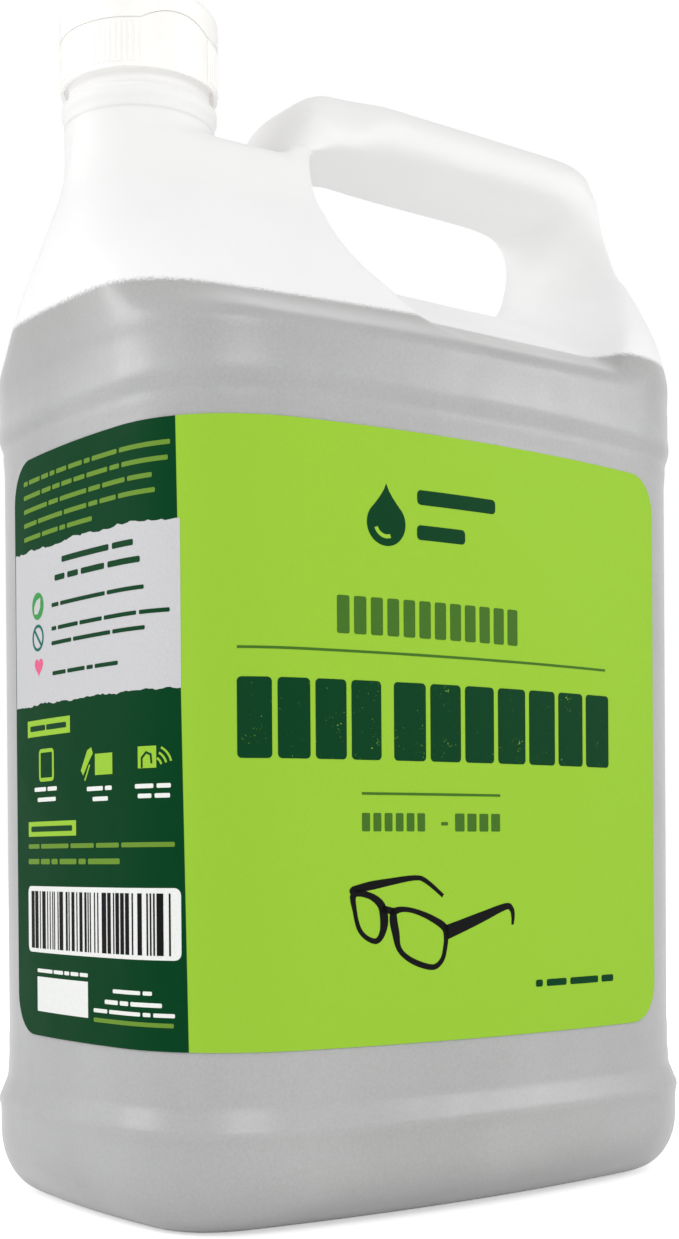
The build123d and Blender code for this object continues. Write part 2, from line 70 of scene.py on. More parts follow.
# ---------------------------------------------------------------- jug skin
VOXEL = 1.1                   # grid of the remeshed skin
SOFTEN_ALL = 4                # smoothing passes everywhere
SOFTEN_HANDLE = 40            # extra passes round the finger opening, above SOFT_FROM
SOFTEN_GRIP = 120             # extra passes along the underside of the grip and its posts
SOFT_FROM = 222.0
SOFT_RISE = 8.0               # height over which those passes set in
SMOOTHING = 0.5               # share of the way to its neighbours' mean that a point moves in a pass
NECK_KEPT = (18.5, 21.0)      # no smoothing nearer to the neck axis than the first, all past the second
NECK_KEPT_Z = (252.0, 256.0)  # this holds above the second height and not below the first
PAST_RAMP_X = (-30.0, -18.0)  # where the handle begins, behind the ramp
GRIP_Z = (243.0, 249.0, 270.0, 276.0)     # heights of the grip's underside: from, full, full, to
RAMP_DROP = 3.0               # how far the ramp and the grip's end fall away at RAMP_SIDE past the flat
RAMP_FLAT = 5.0               # half width of their level middle
RAMP_SIDE = 10.0
RAMP_X = (-36.0, -29.0, -10.0, 6.0)       # where along the jug: from, full, full, to
RAMP_Z = (261.0, 268.0)       # and from what height
CREASES = (                   # height, half height and stand-out of the crests and hollows
    (24.0, 1.7, 0.55),        # crest of the lower bumper
    (29.5, 2.2, -0.50),       # hollow above it
    (189.3, 1.6, -0.45),      # hollow under the upper bumper
    (193.2, 1.9, 0.25),       # its crest
)
HOLE_PUSH = 2.5               # how far the wall at the far end of the finger opening is moved out
HOLE_X = (50.0, 66.0, 73.5, 79.5)         # where along the jug: from, full, full, to
HOLE_Z = (238.0, 250.0, 268.0, 276.0)     # at what height: from, full, full, to
PANEL_TUCK = 0.12             # how far the skin is drawn in under the label
TUCK_EDGE = 3.0               # how far past the label's edges that fades out
BORE_FROM = 262.0             # the wall of the neck's bore is left out above this height
BORE_SPARE = 1.3              # that wall is what stands further in from the foil's edge than this
SHARP_JUG = 35                # degrees from which an edge of the jug stays sharp
EDGE_SEGMENTS = 2             # rounding of the closure's edges
EDGE_ANGLE = 30               # degrees from which they are rounded
NECK_CUT = 262.6              # the remeshed skin ends here, below the bead
NECK_START = 262.0            # the exact neck starts here
NECK_REACH = 22.0             # radius round the neck axis that both cuts act in

# ---------------------------------------------------------------- printing
SEAM_Y = -43.6                # plan position of the change from dark green to lime, half way up
SEAM_LEAN = 0.012             # how far it leans towards the narrow face on its way up
INK = 0.05                    # thickness of one printed layer
INK_LIFT = 0.01               # gap under the first layer
INK_STEP = 1.5                # longest stretch of ink before it bends with the panel
INK_MERGE = 0.0005            # points of one shape nearer than this are one
MITRE_LIMIT = 0.4             # keeps a sharp bend of a line from growing a spike
CORNER_STEPS = 4              # pieces of a rounded corner

DARK_GREEN = (0.001, 0.050, 0.014)
LIME = (0.328, 0.591, 0.045)
MID_GREEN = (0.060, 0.165, 0.020)
OLIVE_LIME = (0.150, 0.290, 0.032)
BAND_GREY = (0.60, 0.60, 0.615)
WHITE_INK = (0.85, 0.86, 0.84)
BLACK_INK = (0.006, 0.006, 0.007)
TEAL = (0.005, 0.150, 0.110)
LEAF_GREEN = (0.050, 0.330, 0.080)
PINK = (0.800, 0.130, 0.280)

# ---------------------------------------------------------------- plastic
FILL_LEAN = 0.028             # how much lower the level shows towards the wide face
LEVEL_ROUGH = 2.4             # how far the grain carries the level up and down
LEVEL_SOFT = (-0.6, 1.2)      # where the grey wall ends and the white one begins, from the level
WET_DEEP = (0.445, 0.446, 0.448)
WET_TOP = (0.40, 0.40, 0.395)
WET_TOP_BAND = 22.0           # the wall darkens to WET_TOP over this height under the level
WET_RIM_SHEEN = (0.72, 0.72, 0.72)  # painted sheen: the wet wall painted lighter where it turns away from the eye
# painted shade: the empty wall is painted darker towards the top, where the light from above falls
# strongest
DRY_LOW = (0.86, 0.86, 0.865)
DRY_HIGH_SHADED = (0.80, 0.797, 0.793)
DRY_BAND = 45.0               # height over the level at which the painted shade is full
FINISH_Z = (266.0, 268.0)     # the neck finish begins here
PAINTED_WALL_LIGHT = 0.04                   # painted light: the empty jug wall glows a little, standing in for light through it
PAINTED_UNDER_LIGHT = 0.09             # painted light: more glow where the wall faces down, against its shade
PAINTED_NECK_LIGHT = 0.12            # painted light: glow on the neck finish on top of it, against the shade under the closure
PAINTED_CLOSURE_LIGHT = 0.05           # painted light: the same glow on the closure

# ---------------------------------------------------------------- hinge strap
STRAP_ACROSS = 8              # fields of its mesh across and up
STRAP_UP = 16
STRAP_FOOT = 0.25             # how far its outer face stands off the closure at its two ends
STRAP_THICK = 0.22            # at the middle
STRAP_ROOT = 0.12             # what it gains towards its ends

# ---------------------------------------------------------------- light
WORLD_LIGHT = 0.65            # the white surround, as far as it lights the jug
FLOOR_LIFT = 0.55             # what the camera sees of the floor on top of its lit paper
LIGHT_TARGET = (0, 0, 0.15)   # in metres
LIGHTS = (                    # name, place in metres, width, height, power
    ("key", (-0.9, -1.9, 1.3), 1.0, 1.0, 12.6),
    ("left_box", (-1.15, 0.62, 0.72), 0.8, 0.62, 6.0),
    ("right_box", (1.15, -1.15, 0.72), 0.95, 0.42, 5.2),
)

# ---------------------------------------------------------------- places taken from the frame
label_low, label_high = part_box("wrap_label")
foil_low, foil_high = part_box("foil_seal")
NECK = ((foil_low.x + foil_high.x) / 2, (foil_low.y + foil_high.y) / 2)
FILL_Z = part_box("cleaning_fluid")[1].z
jug_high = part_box("jug_body")[1]
SIDE_REACH = np.array((jug_high.x, jug_high.y))


# ---------------------------------------------------------------- mesh helpers
def merged_copy(node):
    """A bmesh of a CAD node with its doubled vertices joined."""
    mesh = bmesh.new()
    mesh.from_mesh(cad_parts[node].data)
    bmesh.ops.remove_doubles(mesh, verts=mesh.verts, dist=1e-7)
    return mesh


def object_from(mesh, name, smooth_angle=None):
    """A linked object from a bmesh, which is freed."""
    data = bpy.data.meshes.new(name)
    bmesh.ops.recalc_face_normals(mesh, faces=mesh.faces)
    mesh.to_mesh(data)
    mesh.free()
    data.shade_smooth()
    if smooth_angle is not None:
        data.set_sharp_from_angle(angle=math.radians(smooth_angle))
    obj = bpy.data.objects.new(name, data)
    bpy.context.scene.collection.objects.link(obj)
    return obj


def neck_distance(point):
    """Plan distance from the neck axis."""
    return math.hypot(point[0] - NECK[0], point[1] - NECK[1])


def outer_skin():
    """The outer surface of the jug alone, closed across the neck."""
    mesh = merged_copy("jug_body")
    bore = (foil_high.x - foil_low.x) / 2 - BORE_SPARE * MM
    inner = [
        face
        for face in mesh.faces
        if face.calc_center_median().z > BORE_FROM * MM
        and all(neck_distance(v.co) < bore for v in face.verts)
        and abs(face.normal.z) < 0.5
    ]
    bmesh.ops.delete(mesh, geom=inner, context="FACES")
    seed = min(mesh.verts, key=lambda v: v.co.z)
    reached = {seed}
    front = [seed]
    while front:
        vert = front.pop()
        for edge in vert.link_edges:
            other = edge.other_vert(vert)
            if other not in reached:
                reached.add(other)
                front.append(other)
    bmesh.ops.delete(mesh, geom=[v for v in mesh.verts if v not in reached], context="VERTS")
    open_edges = [edge for edge in mesh.edges if edge.is_boundary]
    bmesh.ops.holes_fill(mesh, edges=open_edges, sides=0)
    bmesh.ops.triangulate(mesh, faces=mesh.faces)
    return mesh


def remeshed(obj, voxel):
    """The object's mesh rebuilt on an even grid."""
    modifier = obj.modifiers.new("grid", "REMESH")
    modifier.mode = "VOXEL"
    modifier.voxel_size = voxel
    depsgraph = bpy.context.evaluated_depsgraph_get()
    data = bpy.data.meshes.new_from_object(obj.evaluated_get(depsgraph))
    obj.modifiers.clear()
    obj.data = data


def smoothed(points, edges, weight, passes):
    """Points moved towards the mean of their neighbours, as far as weight says."""
    count = np.bincount(edges.ravel(), minlength=len(points)).astype(float)
    for _ in range(passes):
        total = np.zeros_like(points)
        for axis in range(3):
            total[:, axis] = np.bincount(
                edges[:, 0], points[edges[:, 1], axis], len(points)
            ) + np.bincount(edges[:, 1], points[edges[:, 0], axis], len(points))
        points = points + weight[:, None] * (total / count[:, None] - points)
    return points


def ramp(values, low, high):
    """0 below low, 1 above high, smooth between."""
    share = np.clip((values - low) / (high - low), 0, 1)
    return share * share * (3 - 2 * share)


def window(values, rise_from, rise_to, fall_from, fall_to):
    """0 outside four limits in millimetres, 1 between the middle two, smooth between."""
    return ramp(values, rise_from * MM, rise_to * MM) * (1 - ramp(values, fall_from * MM, fall_to * MM))


def rounded_ramp(points):
    """The ramp and the near end of the grip, crowned from side to side."""
    x, y, z = points.T
    side = np.maximum(np.abs(y) - RAMP_FLAT * MM, 0) / (RAMP_SIDE * MM)
    share = window(x, *RAMP_X) * ramp(z, RAMP_Z[0] * MM, RAMP_Z[1] * MM)
    points = points.copy()
    points[:, 2] -= RAMP_DROP * MM * side**2 * share
    return points


def creased_bumpers(points):
    """Both bumpers with a crisp crest and a shallow hollow beside it."""
    height = points[:, 2] / MM
    out = np.zeros(len(points))
    for middle, half, reach in CREASES:
        out += reach * np.exp(-(((height - middle) / half) ** 2))
    points = points.copy()
    points[:, :2] *= 1 + (out * MM)[:, None] / SIDE_REACH
    return points


def opened_hole(points):
    """The finger opening, a little longer at the grip's far end."""
    x, _, z = points.T
    share = window(x, *HOLE_X) * window(z, *HOLE_Z)
    points = points.copy()
    points[:, 0] += HOLE_PUSH * MM * share
    return points


def softened(points, edges):
    """The skin with its edges rounded: a little everywhere, more at the handle, most under the grip."""
    away = np.hypot(points[:, 0] - NECK[0], points[:, 1] - NECK[1])
    below_neck = 1 - ramp(points[:, 2], NECK_KEPT_Z[0] * MM, NECK_KEPT_Z[1] * MM)
    free = np.maximum(ramp(away, NECK_KEPT[0] * MM, NECK_KEPT[1] * MM), below_neck)
    points = smoothed(points, edges, SMOOTHING * free, SOFTEN_ALL)
    past_ramp = ramp(points[:, 0], PAST_RAMP_X[0] * MM, PAST_RAMP_X[1] * MM)
    handle = past_ramp * ramp(points[:, 2], SOFT_FROM * MM, (SOFT_FROM + SOFT_RISE) * MM)
    points = smoothed(points, edges, SMOOTHING * handle, SOFTEN_HANDLE)
    grip = past_ramp * window(points[:, 2], *GRIP_Z)
    return smoothed(points, edges, SMOOTHING * grip, SOFTEN_GRIP)


def numbers(items, name, kind=float, width=3):
    """One property of a mesh's vertices or edges, a row each."""
    values = np.empty(len(items) * width, dtype=kind)
    items.foreach_get(name, values)
    return values.reshape(-1, width)


def tucked(points, normals):
    """The skin drawn in a little where the label lies on it."""
    z = points[:, 2]
    edge = TUCK_EDGE * MM
    tuck = ramp(z, label_low.z - edge, label_low.z) * (1 - ramp(z, label_high.z, label_high.z + edge))
    return points - normals * (PANEL_TUCK * MM * tuck)[:, None]


def set_neck(data):
    """Puts the exact neck finish of the CAD jug in the place of the remeshed one."""
    mesh = bmesh.new()
    mesh.from_mesh(data)
    top = [v for v in mesh.verts if v.co.z > NECK_CUT * MM and neck_distance(v.co) < NECK_REACH * MM]
    bmesh.ops.delete(mesh, geom=top, context="VERTS")
    bmesh.ops.holes_fill(mesh, edges=[e for e in mesh.edges if e.is_boundary], sides=0)
    neck = merged_copy("jug_body")
    bmesh.ops.bisect_plane(
        neck,
        geom=neck.verts[:] + neck.edges[:] + neck.faces[:],
        plane_co=(0, 0, NECK_START * MM),
        plane_no=(0, 0, 1),
        clear_inner=True,
    )
    far = [v for v in neck.verts if neck_distance(v.co) > NECK_REACH * MM]
    bmesh.ops.delete(neck, geom=far, context="VERTS")
    carrier = bpy.data.meshes.new("neck")
    neck.to_mesh(carrier)
    neck.free()
    mesh.from_mesh(carrier)
    bpy.data.meshes.remove(carrier)
    mesh.to_mesh(data)
    mesh.free()


def build_jug():
    """The jug: a softened skin on an even grid, with the exact neck finish set into it."""
    obj = object_from(outer_skin(), "jug_shell")
    remeshed(obj, VOXEL * MM)
    data = obj.data
    points = softened(numbers(data.vertices, "co"), numbers(data.edges, "vertices", np.int64, 2))
    points = creased_bumpers(opened_hole(rounded_ramp(points)))
    data.vertices.foreach_set("co", points.ravel())
    data.update()
    points = tucked(points, numbers(data.vertices, "normal"))
    data.vertices.foreach_set("co", points.ravel())
    set_neck(data)
    data.shade_smooth()
    data.set_sharp_from_angle(angle=math.radians(SHARP_JUG))
    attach(obj, "jug")
    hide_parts("jug_body")
    return obj


# ---------------------------------------------------------------- printing on the label
def label_outline():
    """The outer plan outline of the label from its narrow-face end to its wide-face end.

    Returns the arc length from the colour change, the points and their outward normals.
    """
    mesh = merged_copy("wrap_label")
    middle = (label_low.z + label_high.z) / 2
    cut = bmesh.ops.bisect_plane(
        mesh,
        geom=mesh.verts[:] + mesh.edges[:] + mesh.faces[:],
        plane_co=(0, 0, middle),
        plane_no=(0, 0, 1),
    )
    plan = [(e.co.x, e.co.y) for e in cut["geom_cut"] if isinstance(e, bmesh.types.BMVert)]
    mesh.free()
    plan = sorted(set((round(x, 8), round(y, 8)) for x, y in plan))
    hull = []
    for ordered in (plan, plan[::-1]):
        chain = []
        for point in ordered:
            while len(chain) > 1 and turn(chain[-2], chain[-1], point) <= 0:
                chain.pop()
            chain.append(point)
        hull += chain[:-1]
    gaps = [math.dist(hull[i - 1], hull[i]) for i in range(len(hull))]
    start = gaps.index(max(gaps))
    ring = np.array(hull[start:] + hull[:start])
    steps = np.hypot(*np.diff(ring, axis=0).T)
    arc = np.concatenate(([0.0], np.cumsum(steps)))
    side = np.argmin(ring[:, 1])
    seam = np.interp(-SEAM_Y * MM, -ring[:side, 1], arc[:side])
    tangent = np.gradient(ring, arc, axis=0)
    tangent /= np.linalg.norm(tangent, axis=1)[:, None]
    outward = np.stack((tangent[:, 1], -tangent[:, 0]), axis=1)
    return arc - seam, ring, outward


def turn(a, b, c):
    """Positive when a, b, c turn anticlockwise."""
    return (b[0] - a[0]) * (c[1] - a[1]) - (b[1] - a[1]) * (c[0] - a[0])


ARC, RING, OUTWARD = label_outline()


def on_label(s, z, lift):
    """The place s mm along the label from the colour change, z mm high, lift mm off its surface."""
    where = s * MM
    x = np.interp(where, ARC, RING[:, 0]) + lift * MM * np.interp(where, ARC, OUTWARD[:, 0])
    y = np.interp(where, ARC, RING[:, 1]) + lift * MM * np.interp(where, ARC, OUTWARD[:, 1])
    return (x, y, z * MM)


class Ink:
    """Flat shapes of one colour, in millimetres along and up the label, laid on it as thin solids."""

    def __init__(self, name, colour, layer=0, worn=0.0):
        self.name = name
        self.colour = colour
        self.layer = layer
        self.worn = worn
        self.shapes = []

    def shape(self, points):
        """Any simple outline."""
        self.shapes.append(points)

    def bar(self, s0, s1, z0, z1, rounding=0.0):
        """An upright rectangle, with rounded corners if asked."""
        radius = min(rounding, abs(s1 - s0) / 2, abs(z1 - z0) / 2)
        if radius <= 0:
            self.shape([(s0, z0), (s1, z0), (s1, z1), (s0, z1)])
            return
        points = []
        for cs, cz, begin in (
            (s1 - radius, z0 + radius, 270),
            (s1 - radius, z1 - radius, 0),
            (s0 + radius, z1 - radius, 90),
            (s0 + radius, z0 + radius, 180),
        ):
            for step in range(CORNER_STEPS + 1):
                angle = math.radians(begin + 90 / CORNER_STEPS * step)
                points.append((cs + radius * math.cos(angle), cz + radius * math.sin(angle)))
        self.shape(points)

    def words(self, s0, s1, z, height, lengths, gap):
        """A line of word-long bars that stands for a line of print."""
        room = (s1 - s0) - gap * (len(lengths) - 1)
        unit = room / sum(lengths)
        at = s0
        for length in lengths:
            self.bar(at, at + unit * length, z - height / 2, z + height / 2, height * 0.3)
            at += unit * length + gap

    def disc(self, s, z, radius):
        """A round spot."""
        self.shape(circle(s, z, radius, 28))

    def stroke(self, path, width, closed=False):
        """A line along a path, mitred at its bends; width is one number or one for each point."""
        points = [Vector(p[:2]) for p in path]
        widths = width if isinstance(width, list) else [width] * len(points)
        sides = ([], [])
        last = len(points) - 1
        for index, point in enumerate(points):
            before = points[index - 1] if index > 0 or closed else None
            after = points[(index + 1) % len(points)] if index < last or closed else None
            first = (point - before).normalized() if before is not None else None
            second = (after - point).normalized() if after is not None else None
            along = (first or second) + (second or first)
            along.normalize()
            across = Vector((-along.y, along.x))
            square = Vector((-(first or second).y, (first or second).x))
            reach = widths[index] / 2 / max(MITRE_LIMIT, across.dot(square))
            sides[0].append(tuple(point + across * reach))
            sides[1].append(tuple(point - across * reach))
        count = len(points)
        for index in range(count if closed else count - 1):
            after = (index + 1) % count
            self.shape([sides[1][index], sides[1][after], sides[0][after], sides[0][index]])

    def ring(self, s, z, radius, width):
        """A circle drawn with a line."""
        self.stroke(circle(s, z, radius, 32), width, closed=True)

    def build(self):
        """Lays every shape on the label and returns the object."""
        mesh = bmesh.new()
        for points in self.shapes:
            verts = [mesh.verts.new((s, z, 0)) for s, z in points]
            mesh.faces.new(verts)
        bmesh.ops.remove_doubles(mesh, verts=mesh.verts, dist=INK_MERGE)
        bmesh.ops.recalc_face_normals(mesh, faces=mesh.faces)
        for face in mesh.faces:
            if face.normal.z < 0:
                face.normal_flip()
        low = min(v.co.x for v in mesh.verts)
        high = max(v.co.x for v in mesh.verts)
        at = math.ceil(low / INK_STEP) * INK_STEP
        while at < high:
            crossing = [f for f in mesh.faces if spans(f, at)]
            geom = set(crossing)
            for face in crossing:
                geom.update(face.verts)
                geom.update(face.edges)
            if geom:
                bmesh.ops.bisect_plane(mesh, geom=list(geom), plane_co=(at, 0, 0), plane_no=(1, 0, 0))
            at += INK_STEP
        made = bmesh.ops.extrude_face_region(mesh, geom=mesh.faces[:])
        lower = INK_LIFT + self.layer * (INK + INK_LIFT)
        raised = {v for v in made["geom"] if isinstance(v, bmesh.types.BMVert)}
        for vert in mesh.verts:
            lift = lower + INK if vert in raised else lower
            vert.co = on_label(vert.co.x, vert.co.y, lift)
        obj = object_from(mesh, self.name, smooth_angle=20)
        obj.data.materials.append(ink_material(self.name, self.colour, self.worn))
        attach(obj, "jug")
        return obj


def circle(s, z, radius, count):
    """Points round a full circle."""
    angles = [2 * math.pi * i / count for i in range(count)]
    return [(s + radius * math.cos(angle), z + radius * math.sin(angle)) for angle in angles]


def spans(face, at):
    """True where a face reaches across a position along the label."""
    values = [v.co.x for v in face.verts]
    return min(values) < at - 1e-6 and max(values) > at + 1e-6


# ---------------------------------------------------------------- materials
class Shader:
    """A node material in the making."""

    def __init__(self, name):
        self.material = bpy.data.materials.new(name)
        self.material.use_nodes = True
        self.tree = self.material.node_tree
        self.surface = next(n for n in self.tree.nodes if n.type == "BSDF_PRINCIPLED")
        coordinates = self.tree.nodes.new("ShaderNodeTexCoord")
        self.place = coordinates.outputs["Object"]

    def link(self, source, target):
        """Joins an output to an input, or sets a plain value."""
        if isinstance(source, bpy.types.NodeSocket):
            self.tree.links.new(source, target)
        else:
            target.default_value = source

    def set(self, name, source):
        """Feeds one input of the surface."""
        self.link(source, self.surface.inputs[name])

    def math(self, operation, first, second=0.0, third=0.0):
        """One sum on plain numbers."""
        node = self.tree.nodes.new("ShaderNodeMath")
        node.operation = operation
        for source, target in zip((first, second, third), node.inputs):
            self.link(source, target)
        return node.outputs[0]

    def axis(self, name):
        """One coordinate in metres."""
        node = self.tree.nodes.new("ShaderNodeSeparateXYZ")
        self.link(self.place, node.inputs[0])
        return node.outputs[name]

    def normal_z(self):
        """How far the surface faces up, from -1 to 1."""
        geometry = self.tree.nodes.new("ShaderNodeNewGeometry")
        node = self.tree.nodes.new("ShaderNodeSeparateXYZ")
        self.link(geometry.outputs["Normal"], node.inputs[0])
        return node.outputs["Z"]

    def noise(self, size, detail=2.0, roughness=0.5, distortion=0.0):
        """A noise whose features are about size millimetres."""
        node = self.tree.nodes.new("ShaderNodeTexNoise")
        node.inputs["Scale"].default_value = 1 / (size * MM)
        node.inputs["Detail"].default_value = detail
        node.inputs["Roughness"].default_value = roughness
        node.inputs["Distortion"].default_value = distortion
        self.link(self.place, node.inputs["Vector"])
        return node.outputs["Fac"]

    def span(self, value, low, high, out_low=0.0, out_high=1.0, smooth=True):
        """A value carried from one range to another, with ends held."""
        node = self.tree.nodes.new("ShaderNodeMapRange")
        node.interpolation_type = "SMOOTHSTEP" if smooth else "LINEAR"
        for source, name in (
            (value, "Value"),
            (low, "From Min"),
            (high, "From Max"),
            (out_low, "To Min"),
            (out_high, "To Max"),
        ):
            self.link(source, node.inputs[name])
        return node.outputs["Result"]

    def mix(self, share, first, second, blend="MIX"):
        """A colour between two colours."""
        node = self.tree.nodes.new("ShaderNodeMix")
        node.data_type = "RGBA"
        node.blend_type = blend
        self.link(share, node.inputs["Factor"])
        self.link(with_alpha(first), node.inputs["A"])
        self.link(with_alpha(second), node.inputs["B"])
        return node.outputs["Result"]

    def shade(self, colour, amount):
        """A colour times a number."""
        return self.mix(1.0, colour, self.grey(amount), "MULTIPLY")

    def grey(self, value):
        """A grey from a number."""
        node = self.tree.nodes.new("ShaderNodeCombineColor")
        for target in node.inputs[:3]:
            self.link(value, target)
        return node.outputs[0]

    def bump(self, height, distance, strength):
        """A bump of so many millimetres."""
        node = self.tree.nodes.new("ShaderNodeBump")
        node.inputs["Distance"].default_value = distance * MM
        node.inputs["Strength"].default_value = strength
        self.link(height, node.inputs["Height"])
        return node.outputs["Normal"]

    def facing(self):
        """How far the surface turns away from the eye, from 0 to 1."""
        node = self.tree.nodes.new("ShaderNodeLayerWeight")
        node.inputs["Blend"].default_value = 0.5
        return node.outputs["Facing"]


def with_alpha(colour):
    """A colour as four numbers, sockets as they are."""
    if isinstance(colour, tuple) and len(colour) == 3:
        return (*colour, 1.0)
    return colour


def jug_material():
    """Natural polyethylene: near white when empty, grey and grainy where the liquid stands behind it."""
    made = Shader("jug_plastic")
    height = made.axis("Z")
    grain = made.noise(0.7, detail=3, roughness=0.7)
    cloud = made.noise(38, detail=3, distortion=0.4)
    edge = made.math("MULTIPLY_ADD", made.math("SUBTRACT", grain, 0.5), LEVEL_ROUGH * MM, height)
    edge = made.math("MULTIPLY_ADD", made.axis("Y"), -FILL_LEAN, edge)
    empty = made.span(edge, FILL_Z + LEVEL_SOFT[0] * MM, FILL_Z + LEVEL_SOFT[1] * MM)
    near_level = made.span(height, FILL_Z - WET_TOP_BAND * MM, FILL_Z, 0.0, 0.8)
    wet = made.mix(near_level, WET_DEEP, WET_TOP)
    wet = made.shade(wet, made.span(cloud, 0.3, 0.7, 0.96, 1.04))
    wet = made.shade(wet, made.span(grain, 0.25, 0.75, 0.945, 1.055))
    # painted sheen: the wet wall lighter towards its outline
    wet = made.mix(made.span(made.facing(), 0.55, 1.0, 0.0, 0.55), wet, WET_RIM_SHEEN)
    # painted shade: the empty wall darker with height
    dry = made.mix(made.span(height, FILL_Z, FILL_Z + DRY_BAND * MM), DRY_LOW, DRY_HIGH_SHADED)
    dry = made.shade(dry, made.span(cloud, 0.3, 0.7, 0.985, 1.01))
    made.set("Base Color", made.mix(empty, wet, dry))
    satin = made.span(made.noise(9, detail=1), 0.3, 0.7, 0.31, 0.36)
    made.set("Roughness", made.math("MULTIPLY_ADD", empty, 0.12, satin))
    made.set("Specular IOR Level", made.span(empty, 0.0, 1.0, 0.5, 0.2, smooth=False))
    # painted light: emission on the empty wall, more where it faces down and on the neck finish
    finish = made.span(height, FINISH_Z[0] * MM, FINISH_Z[1] * MM, 0.0, PAINTED_NECK_LIGHT)
    beside = made.span(made.axis("X"), NECK[0] + NECK_REACH * MM, NECK[0] + (NECK_REACH - 3) * MM)
    finish = made.math("MULTIPLY", finish, beside)
    made.set("Emission Color", (1.0, 0.99, 0.98, 1.0))
    under = made.span(made.normal_z(), 0.5, -0.6, 0.0, PAINTED_UNDER_LIGHT)
    painted_light = made.math("ADD", made.math("ADD", finish, PAINTED_WALL_LIGHT), under)
    made.set("Emission Strength", made.math("MULTIPLY", empty, painted_light))
    made.set("Subsurface Weight", 0.2)
    made.set("Subsurface Radius", (1.0, 1.0, 1.0))
    made.set("Subsurface Scale", 3 * MM)
    made.set("Normal", made.bump(made.noise(26, detail=1), 0.5, 0.5))
    return made.material


def label_material():
    """The film of the label: dark green round the narrow face, lime on the wide one."""
    made = Shader("label_film")
    rise = made.math("SUBTRACT", made.axis("Z"), (label_low.z + label_high.z) / 2)
    across = made.math("MULTIPLY_ADD", rise, -SEAM_LEAN, made.axis("Y"))
    front = made.span(across, (SEAM_Y + 0.05) * MM, (SEAM_Y - 0.05) * MM, smooth=False)
    colour = made.mix(front, DARK_GREEN, LIME)
    mottle = made.noise(0.5, detail=2)
    colour = made.shade(colour, made.span(mottle, 0.3, 0.7, 0.985, 1.015))
    made.set("Base Color", colour)
    made.set("Roughness", made.span(made.noise(14, detail=2), 0.3, 0.7, 0.40, 0.50))
    made.set("Specular IOR Level", 0.04)
    made.set("Normal", made.bump(made.noise(30, detail=1), 0.12, 0.5))
    return made.material


def ink_material(name, colour, worn):
    """Printing ink; worn is the share of lime flecks that show through it."""
    made = Shader(name)
    mottle = made.noise(0.35, detail=2)
    tone = made.shade(colour, made.span(mottle, 0.3, 0.7, 0.96, 1.04))
    if worn:
        flecks = made.noise(0.55, detail=3, roughness=0.7)
        patches = made.noise(6.0, detail=1)
        mask = made.math("MULTIPLY_ADD", patches, 0.35, flecks)
        tone = made.mix(made.span(mask, 0.98 - worn, 1.0 - worn, smooth=False), tone, LIME)
    made.set("Base Color", tone)
    made.set("Roughness", made.span(mottle, 0.3, 0.7, 0.42, 0.52))
    made.set("Specular IOR Level", 0.07)
    return made.material


def closure_material():
    """White polypropylene, a little warm, satin, with a very fine moulded grain."""
    made = Shader("closure_plastic")
    grain = made.noise(0.4, detail=2)
    cloud = made.noise(12, detail=2)
    colour = made.mix(made.span(cloud, 0.3, 0.7), (0.90, 0.885, 0.86), (0.93, 0.92, 0.90))
    made.set("Base Color", colour)
    made.set("Roughness", made.span(grain, 0.3, 0.7, 0.33, 0.43))
    made.set("Specular IOR Level", 0.45)
    # painted light: the closure glows a little, against the shade in its gaps
    made.set("Emission Color", (1.0, 0.98, 0.95, 1.0))
    made.set("Emission Strength", made.span(grain, 0.0, 1.0, PAINTED_CLOSURE_LIGHT, PAINTED_CLOSURE_LIGHT * 1.1))
    made.set("Subsurface Weight", 0.25)
    made.set("Subsurface Radius", (1.0, 0.95, 0.85))
    made.set("Subsurface Scale", 1.2 * MM)
    made.set("Normal", made.bump(grain, 0.02, 0.4))
    return made.material


def foil_material():
    """Dull aluminium foil, a little crinkled by the heat seal."""
    made = Shader("seal_foil")
    crinkle = made.noise(3.0, detail=4, roughness=0.6, distortion=0.6)
    made.set("Base Color", made.mix(made.span(crinkle, 0.3, 0.7), (0.72, 0.73, 0.74), (0.85, 0.86, 0.87)))
    made.set("Metallic", 1.0)
    made.set("Roughness", made.span(crinkle, 0.3, 0.7, 0.28, 0.42))
    made.set("Normal", made.bump(crinkle, 0.15, 0.7))
    return made.material


def foam_material():
    """White foamed polyethylene with a fine cell."""
    made = Shader("wad_foam")
    cells = made.noise(0.3, detail=3, roughness=0.7)
    made.set("Base Color", made.mix(made.span(cells, 0.3, 0.7), (0.80, 0.80, 0.78), (0.90, 0.90, 0.88)))
    made.set("Roughness", made.span(cells, 0.3, 0.7, 0.75, 0.9))
    made.set("Normal", made.bump(cells, 0.05, 0.8))
    return made.material


def liquid_material():
    """Clear water-like liquid."""
    made = Shader("liquid")
    drift = made.noise(45, detail=2)
    made.set("Base Color", made.mix(made.span(drift, 0.3, 0.7), (0.62, 0.63, 0.64), (0.70, 0.71, 0.72)))
    made.set("Roughness", made.span(drift, 0.3, 0.7, 0.03, 0.06))
    made.set("IOR", 1.333)
    made.set("Transmission Weight", 0.8)
    return made.material


def give(node, material):
    """Puts one material on every slot of a CAD node's object."""
    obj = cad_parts[node]
    if not obj.data.materials:
        obj.data.materials.append(material)
    for slot in obj.material_slots:
        slot.link = "OBJECT"
        slot.material = material


